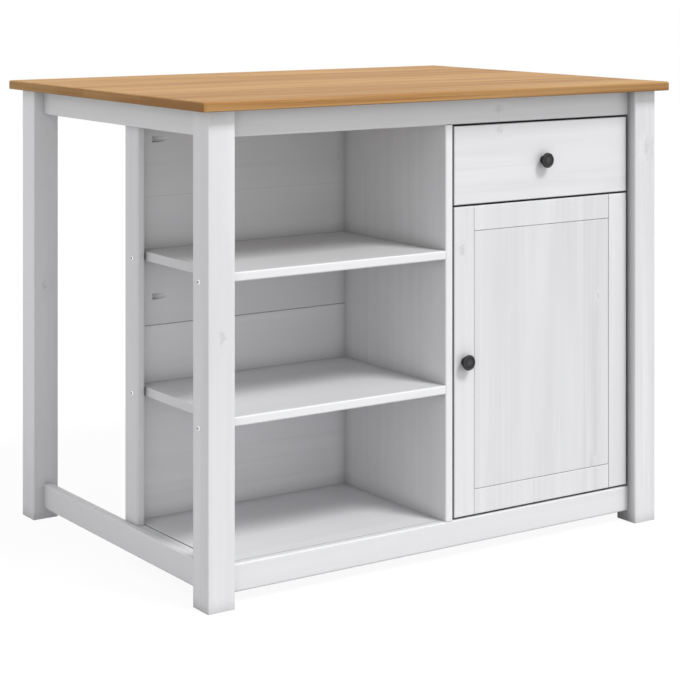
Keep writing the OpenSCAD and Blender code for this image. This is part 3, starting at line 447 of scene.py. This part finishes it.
# Painted boards: the axis that their grain runs along, how strongly it shows,
# how light the board is, and its knots as (place, radius)
PAINTED = {
    "leg_front_left": (Z, 1.0, 0.68, [((-0.502, -0.382, 0.481), 0.006)]),
    "leg_front_right": (Z, 1.0, 0.45, [((0.505, -0.382, 0.764), 0.006)]),
    "leg_back_left": (Z, 1.0, 0.95, [((-0.507, 0.327, 0.479), 0.006)]),
    "leg_back_right": (Z, 1.0, 0.60, [((0.530, 0.360, 0.330), 0.007)]),
    "apron_front": (X, 0.7, 0.55, [((0.138, -0.360, 0.857), 0.006)]),
    "apron_back": (X, 0.9, 0.62, [((-0.210, 0.360, 0.855), 0.006)]),
    "apron_left": (Y, 0.6, 0.58, []),
    "apron_right": (Y, 0.9, 0.62, [((0.508, 0.080, 0.860), 0.006)]),
    "rail_front": (X, 0.5, 0.60, []),
    "rail_left": (Y, 0.4, 1.0, []),
    "rail_right": (Y, 0.8, 0.66, []),
    "side_cleat": (Y, 0.4, 0.60, []),
    "floor_cleat_front": (X, 0.4, 0.60, []),
    "floor_cleat_back": (X, 0.4, 0.60, []),
    "cross_rail": (X, 0.6, 0.60, []),
    "floor_panel": (X, 0.4, 0.50, []),
    "shelf_upper": (X, 0.4, 0.08, []),
    "shelf_lower": (X, 0.4, 0.38, []),
    "cupboard_shelf": (X, 0.4, 0.50, []),
    "back_board_upper": (X, 0.5, 0.52, []),
    "back_board_lower": (X, 0.5, 0.80, []),
    "mid_post": (Z, 0.5, 0.66, []),
    "partition": (Z, 0.5, 0.50, []),
    "side_panel": (Z, 0.4, 0.55, []),
    "drawer_front": (X, 0.7, 0.60, [((0.138, -0.360, 0.815), 0.006)]),
    "door_stile_left": (Z, 1.0, 0.60, [((0.047, -0.360, 0.590), 0.006)]),
    "door_stile_right": (Z, 1.0, 0.62, []),
    "door_rail_top": (Z, 1.0, 0.50, []),
    "door_rail_bottom": (Z, 1.0, 0.50, []),
    "door_panel": (Z, 1.1, 0.38, [((0.394, -0.3595, 0.469), 0.003), ((0.378, -0.3595, 0.135), 0.004)]),
}
DOOR_RAILS = ("door_rail_top", "door_rail_bottom")
DOOR_STILES = ("door_stile_left", "door_stile_right")
# Boards whose front edges are smooth and carry a painted highlight
HIGHLIT_EDGE = ("partition", "shelf_upper", "shelf_lower")
# The door's rails and panel share one run of grain
SHARED_SEED = dict.fromkeys((*DOOR_RAILS, "door_panel"), 40)
# Sides with painted shade: the axis that the unshaded faces look along, and a share
SHADED_SIDES = {
    **dict.fromkeys(("drawer_front", *DOOR_STILES, *DOOR_RAILS), (Y, 0.35)),
    **dict.fromkeys(("side_cleat", "floor_panel"), (Z, 0.6)),
}
# Painted shade in the corner between the right leg and the door, along the cleat beside the
#  left rail, and in the joints between the door's rails and its right stile
SHADED_SPOTS = {
    "leg_front_right": (0.45, (X, 0.4775, 0.4765), (Y, -0.380, -0.358)),
    "side_cleat": (0.5, (X, -0.4890, -0.4912)),
    **dict.fromkeys(DOOR_RAILS, (0.75, (X, 0.4215, 0.4222))),
}
# Heights of the glue lines in the upper back board
GLUE_LINES = {"back_board_upper": [0.692]}
# Bare pieces, and the axis that their grain runs along
BARE = {"runner_left": Y, "runner_right": Y, "drawer_side_left": Y, "drawer_side_right": Y,
        "drawer_back": X, "drawer_bottom": X, "drawer_dowels": Y, "door_dowels": X, "frame_dowels": X}
# Rows and heights of the shelf screws' heads, on the left leg and the post
HEAD_YS = (-0.350, -0.030)
HEAD_ZS = (0.321, 0.579)


def paint_board(node, seed):
    """Paint of one board, from the tables above."""
    return painted_wood(
        "painted_" + node, PAINTED[node][0], SHARED_SEED.get(node, seed), *PAINTED[node][1:],
        highlit_edge=node in HIGHLIT_EDGE, glue_lines=GLUE_LINES.get(node, ()),
        shaded_sides=SHADED_SIDES.get(node), shaded_spots=SHADED_SPOTS.get(node))


def dress_all():
    """Give every piece of the frame its material."""
    finish = {node: paint_board(node, i + 1) for i, node in enumerate(PAINTED)}
    finish["worktop"] = oiled_wood("oiled_worktop")
    plain = [plain_wood("plain_" + letter, axis) for axis, letter in enumerate("xyz")]
    finish.update({node: plain[axis] for node, axis in BARE.items()})
    finish.update(dict.fromkeys(("drawer_knob", "door_knob"), dark_metal("dark_knob")))
    finish["catch_housing"] = dark_plastic("dark_catch")
    finish["shelf_screws"] = screw_steel("bright_steel", [(y, z) for y in HEAD_YS for z in HEAD_ZS])
    zinc = zinc_steel("zinc_steel")
    for node, piece in NODES.items():
        piece.data.materials.clear()
        piece.data.materials.append(finish.get(node, zinc))


# ------------------------------------------------------- floor, world, lamp

WHITE = (1, 1, 1, 1)
# The floor and the sky as the camera sees them
FLOOR_GLOW = 1.09
FLOOR_GLOW_SHARE = 0.85
SKY_SEEN = 1.0
# The sky's light, from the horizon to straight above
SKY_LOW = 1.05
SKY_HIGH = 0.43
FLOOR_HALF = 9.0
FLOOR_GREY = (0.55, 0.55, 0.55)
# The lamp's direction from the object, strength and apparent size in degrees
LAMP_TOWARDS = (0.226, -0.566, 0.793)
LAMP_STRENGTH = 2.15
LAMP_ANGLE = 17


def make_floor():
    """Pale floor, nearly white to the camera except in the object's shadow."""
    mesh = bpy.data.meshes.new("floor")
    corners = [(x * FLOOR_HALF, y * FLOOR_HALF, 0) for x, y in ((-1, -1), (1, -1), (1, 1), (-1, 1))]
    mesh.from_pydata(corners, [], [(0, 1, 2, 3)])
    floor = bpy.data.objects.new("floor", mesh)
    SCENE.collection.objects.link(floor)
    m = Finish("floor")
    m.set(color=FLOOR_GREY, rough=0.9, spec=0.1)
    glow = m.add("ShaderNodeEmission", {"Color": WHITE, "Strength": FLOOR_GLOW}).outputs[0]
    share = m.math("MULTIPLY", m.seen_directly(), FLOOR_GLOW_SHARE)
    mixed = m.add("ShaderNodeMixShader", {0: share, 1: m.bsdf.outputs[0], 2: glow}).outputs[0]
    m.feed(m.tree.nodes["Material Output"].inputs["Surface"], mixed)
    mesh.materials.append(m.material)


def make_world():
    """White behind the object, and soft light that is stronger near the horizon."""
    world = bpy.data.worlds.new("world")
    SCENE.world = world
    world.use_nodes = True
    world.node_tree.nodes.clear()
    sky = Shader(world.node_tree)
    height = sky.split(sky.add("ShaderNodeTexCoord").outputs["Generated"])["Z"]
    light = {"Color": WHITE, "Strength": sky.remap(height, 0, 1, SKY_LOW, SKY_HIGH)}
    soft = sky.add("ShaderNodeBackground", light).outputs[0]
    white = sky.add("ShaderNodeBackground", {"Color": WHITE, "Strength": SKY_SEEN}).outputs[0]
    mixed = sky.add("ShaderNodeMixShader", {0: sky.seen_directly(), 1: soft, 2: white}).outputs[0]
    sky.add("ShaderNodeOutputWorld", {"Surface": mixed})


def make_lamp():
    """Broad lamp in front of the object, above it and to its right."""
    data = bpy.data.lights.new("key", "SUN")
    data.energy = LAMP_STRENGTH
    data.angle = math.radians(LAMP_ANGLE)
    lamp = bpy.data.objects.new("key", data)
    lamp.rotation_euler = Vector(LAMP_TOWARDS).to_track_quat("Z", "Y").to_euler()
    SCENE.collection.objects.link(lamp)


make_camera()
dress_all()
make_floor()
make_world()
make_lamp()
